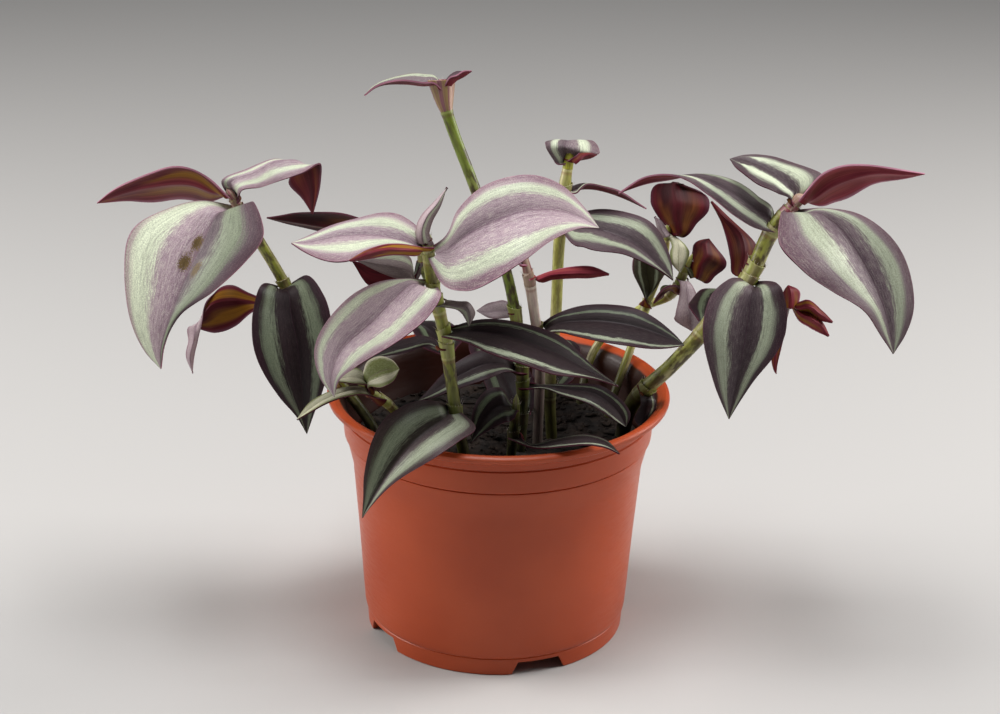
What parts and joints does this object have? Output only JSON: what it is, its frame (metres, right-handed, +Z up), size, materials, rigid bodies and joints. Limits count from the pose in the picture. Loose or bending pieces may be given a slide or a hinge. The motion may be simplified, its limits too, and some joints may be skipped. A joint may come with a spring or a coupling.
{
  "type": "potted tradescantia",
  "caption": "Striped trailing foliage plant on jointed arching stems, rooted in potting soil in a tapered round plastic nursery pot.",
  "frame": {"origin": "on the pot's axis, in the plane the pot stands on", "axes": "+X to the right along the plant's widest spread, +Y to the back, +Z up"},
  "size_m": [0.2804, 0.1403, 0.2031],
  "materials": {
    "pot": "satin terracotta-coloured moulded plastic",
    "soil": "dark crumbly potting mix",
    "stem": "smooth fleshy stem, yellow-green with olive flecks",
    "stem_pink": "smooth fleshy stem, pinkish white",
    "leaf_striped": "satin leaf, silver-green stripes on mauve",
    "leaf_dark": "satin leaf, dark purple with grey-green stripes",
    "leaf_red": "satin leaf, maroon underside"
  },
  "bodies": {
    "root": {"pot": "pot", "soil": "soil", "stem_a": "stem", "stem_b": "stem", "stem_c": "stem", "stem_d": "stem_pink", "stem_e": "stem", "stem_f": "stem", "stem_g": "stem", "stem_h": "stem", "stem_j": "stem", "stem_k": "stem", "stem_l": "stem", "leaf_a_curled": "leaf_red", "leaf_a_hanging": "leaf_striped", "leaf_a_left": "leaf_red", "leaf_a_lower": "leaf_dark", "leaf_a_right": "leaf_striped", "leaf_b_bud": "leaf_red", "leaf_b_front": "leaf_striped", "leaf_b_left": "leaf_striped", "leaf_b_low_left": "leaf_dark", "leaf_b_low_right": "leaf_dark", "leaf_b_right": "leaf_striped", "leaf_b_rim": "leaf_dark", "leaf_b_young": "leaf_red", "leaf_c_back": "leaf_dark", "leaf_c_left": "leaf_dark", "leaf_c_pale": "leaf_striped", "leaf_c_right": "leaf_dark", "leaf_c_tip": "leaf_red", "leaf_d_lower": "leaf_dark", "leaf_d_right": "leaf_red", "leaf_d_tip": "leaf_red", "leaf_e_back": "leaf_dark", "leaf_e_cup": "leaf_striped", "leaf_e_narrow": "leaf_red", "leaf_e_right": "leaf_dark", "leaf_f_back": "leaf_dark", "leaf_f_behind": "leaf_red", "leaf_f_front": "leaf_striped", "leaf_f_hanging": "leaf_striped", "leaf_f_inner": "leaf_dark", "leaf_f_left": "leaf_striped", "leaf_f_right": "leaf_red", "leaf_f_up": "leaf_striped", "leaf_g_cup": "leaf_red", "leaf_g_left": "leaf_dark", "leaf_h_dark": "leaf_dark", "leaf_h_rim": "leaf_dark", "leaf_j_hanging": "leaf_striped", "leaf_j_orange": "leaf_red", "leaf_j_right": "leaf_red", "leaf_k_back": "leaf_dark", "leaf_k_front": "leaf_striped", "leaf_k_left": "leaf_red", "leaf_l_curled": "leaf_striped", "leaf_l_left": "leaf_red", "leaf_shoot_young": "leaf_red"}
  },
  "joints": []
}
